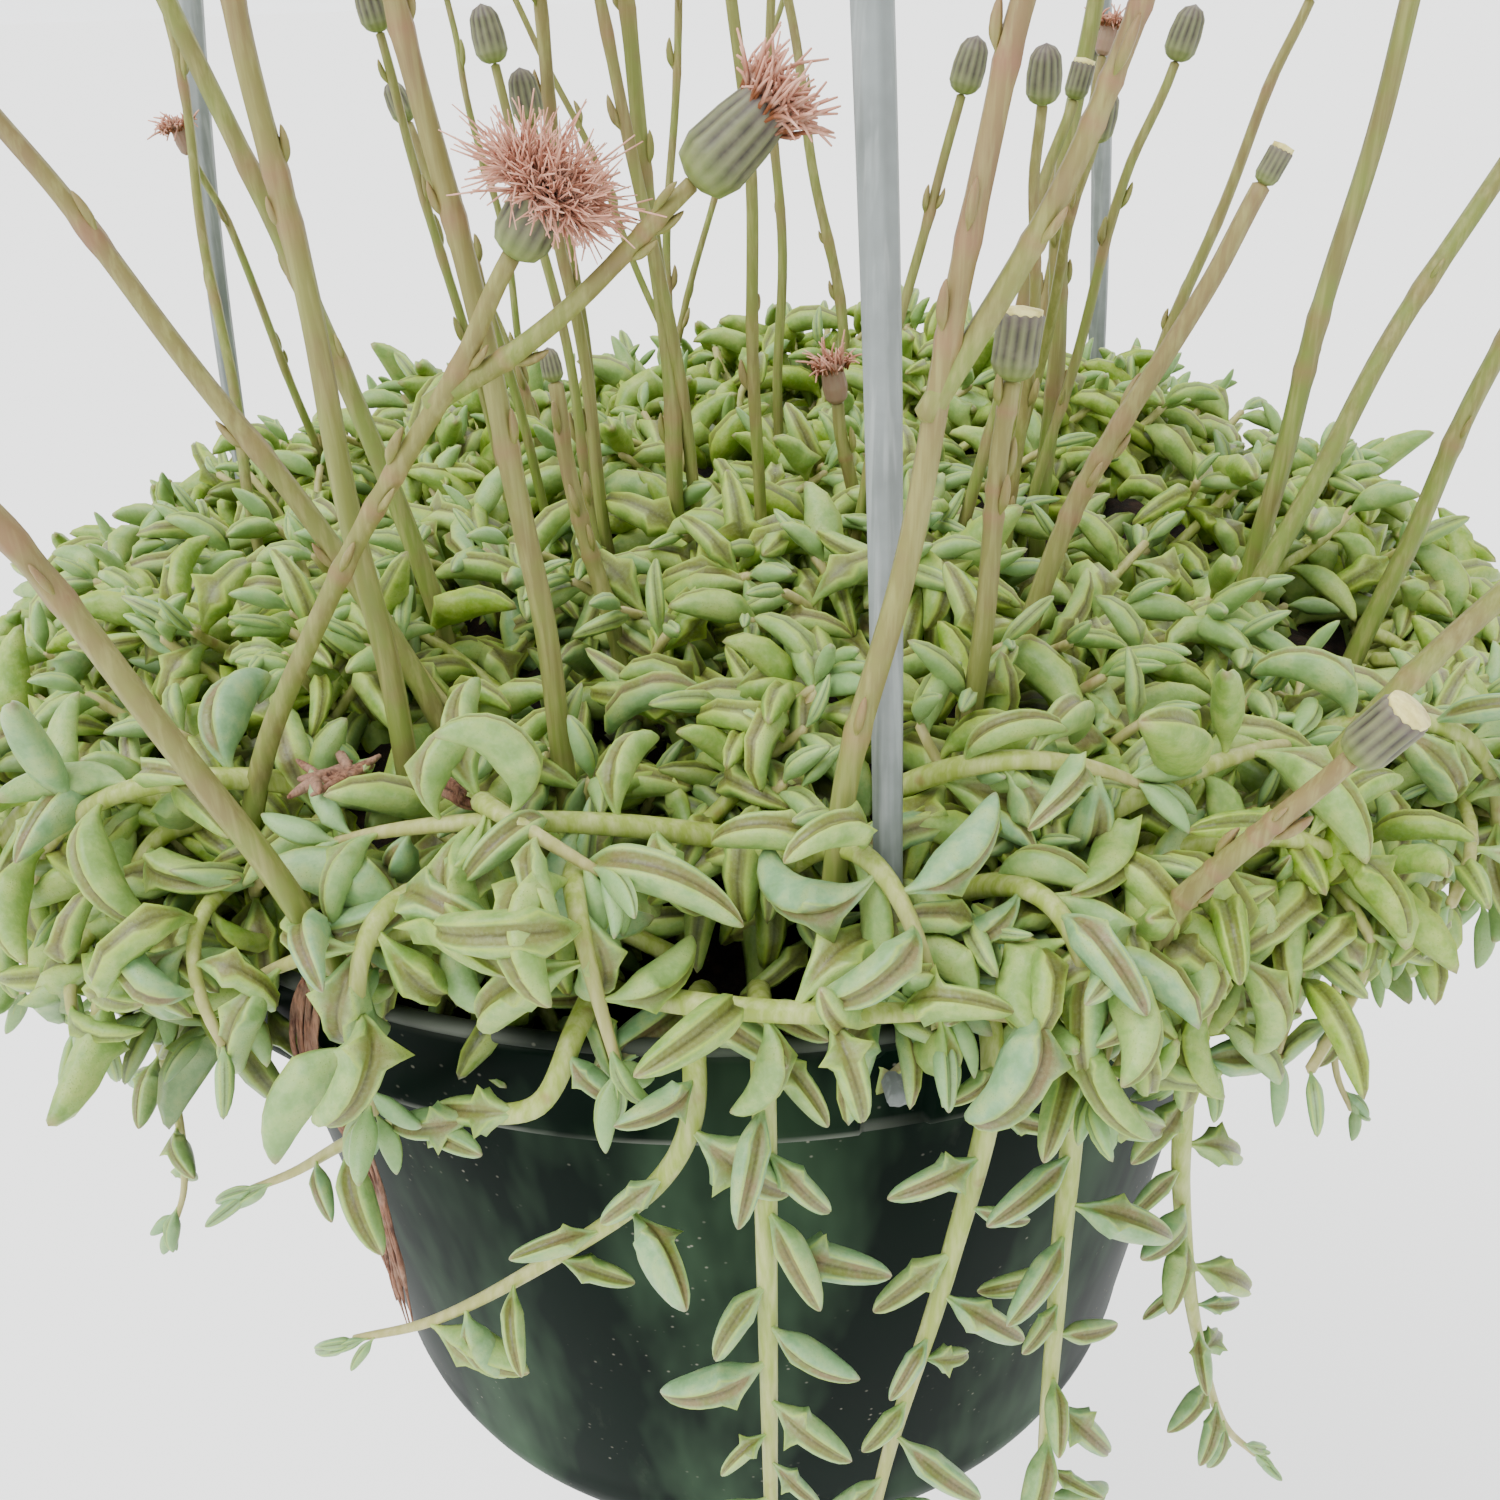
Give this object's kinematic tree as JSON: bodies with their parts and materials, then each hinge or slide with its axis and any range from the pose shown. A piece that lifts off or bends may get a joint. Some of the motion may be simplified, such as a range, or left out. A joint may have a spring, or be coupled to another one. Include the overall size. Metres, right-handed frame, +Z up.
{
  "type": "potted string of dolphins in a hanging basket",
  "caption": "Trailing succulent with curved dolphin-shaped leaves and spent flower stalks, planted in a dark green hanging basket with a grey hanger and hook.",
  "frame": {"origin": "the point on the pot's axis, under the top of the hook's rod, on which the basket hangs", "axes": "+Z up along the pot's axis, the front towards -Y, +X to the right seen from the front"},
  "size_m": [0.336, 0.2951, 0.5972],
  "materials": {
    "pot": "dark green moulded plastic, scuffed and dusty",
    "hanger": "grey moulded plastic with fine lengthwise ribs",
    "soil": "dark peaty potting mix with bark",
    "leaf": "fleshy blue-green leaf with a waxy bloom",
    "stem": "smooth pale yellow-green stem",
    "stalk": "olive to mauve-brown ribbed flower stalk",
    "head": "grey-green flower head with darker stripes",
    "fluff": "dry pinkish-tan fluff",
    "bark": "dry fibrous bark"
  },
  "bodies": {
    "root": {"pot": "pot", "soil": "soil", "hanger_arm_1": "hanger", "hanger_arm_2": "hanger", "hanger_arm_3": "hanger", "hanger_hook": "hanger", "crown": "leaf", "bark_strip": "bark", "bark_chunk_1": "bark", "bark_chunk_2": "bark", "dry_stick": "bark", "strand_01": "stem", "strand_02": "stem", "strand_03": "stem", "strand_04": "stem", "strand_05": "stem", "strand_06": "stem", "strand_07": "stem", "strand_08": "stem", "strand_09": "stem", "strand_10": "stem", "strand_11": "stem", "strand_12": "stem", "flower_stalk_01": "stalk", "flower_head_01": "head", "flower_stalk_02": "stalk", "flower_head_02": "fluff", "flower_stalk_03": "stalk", "flower_head_03": "head", "flower_stalk_04": "stalk", "flower_head_04": "fluff", "flower_stalk_05": "stalk", "flower_head_05": "head", "flower_stalk_06": "stalk", "flower_head_06": "head", "flower_stalk_07": "stalk", "flower_head_07": "head", "flower_stalk_08": "stalk", "flower_head_08": "head", "flower_stalk_09": "stalk", "flower_head_09": "head", "flower_stalk_10": "stalk", "flower_head_10": "fluff", "flower_stalk_11": "stalk", "flower_head_11": "head", "flower_stalk_12": "stalk", "flower_head_12": "head", "flower_stalk_13": "stalk", "flower_head_13": "fluff", "flower_stalk_14": "stalk", "flower_head_14": "fluff", "flower_stalk_15": "stalk", "flower_head_15": "head", "flower_stalk_16": "stalk", "flower_head_16": "head", "flower_stalk_17": "stalk", "flower_head_17": "head", "flower_stalk_18": "stalk", "flower_head_18": "fluff"}
  },
  "joints": []
}
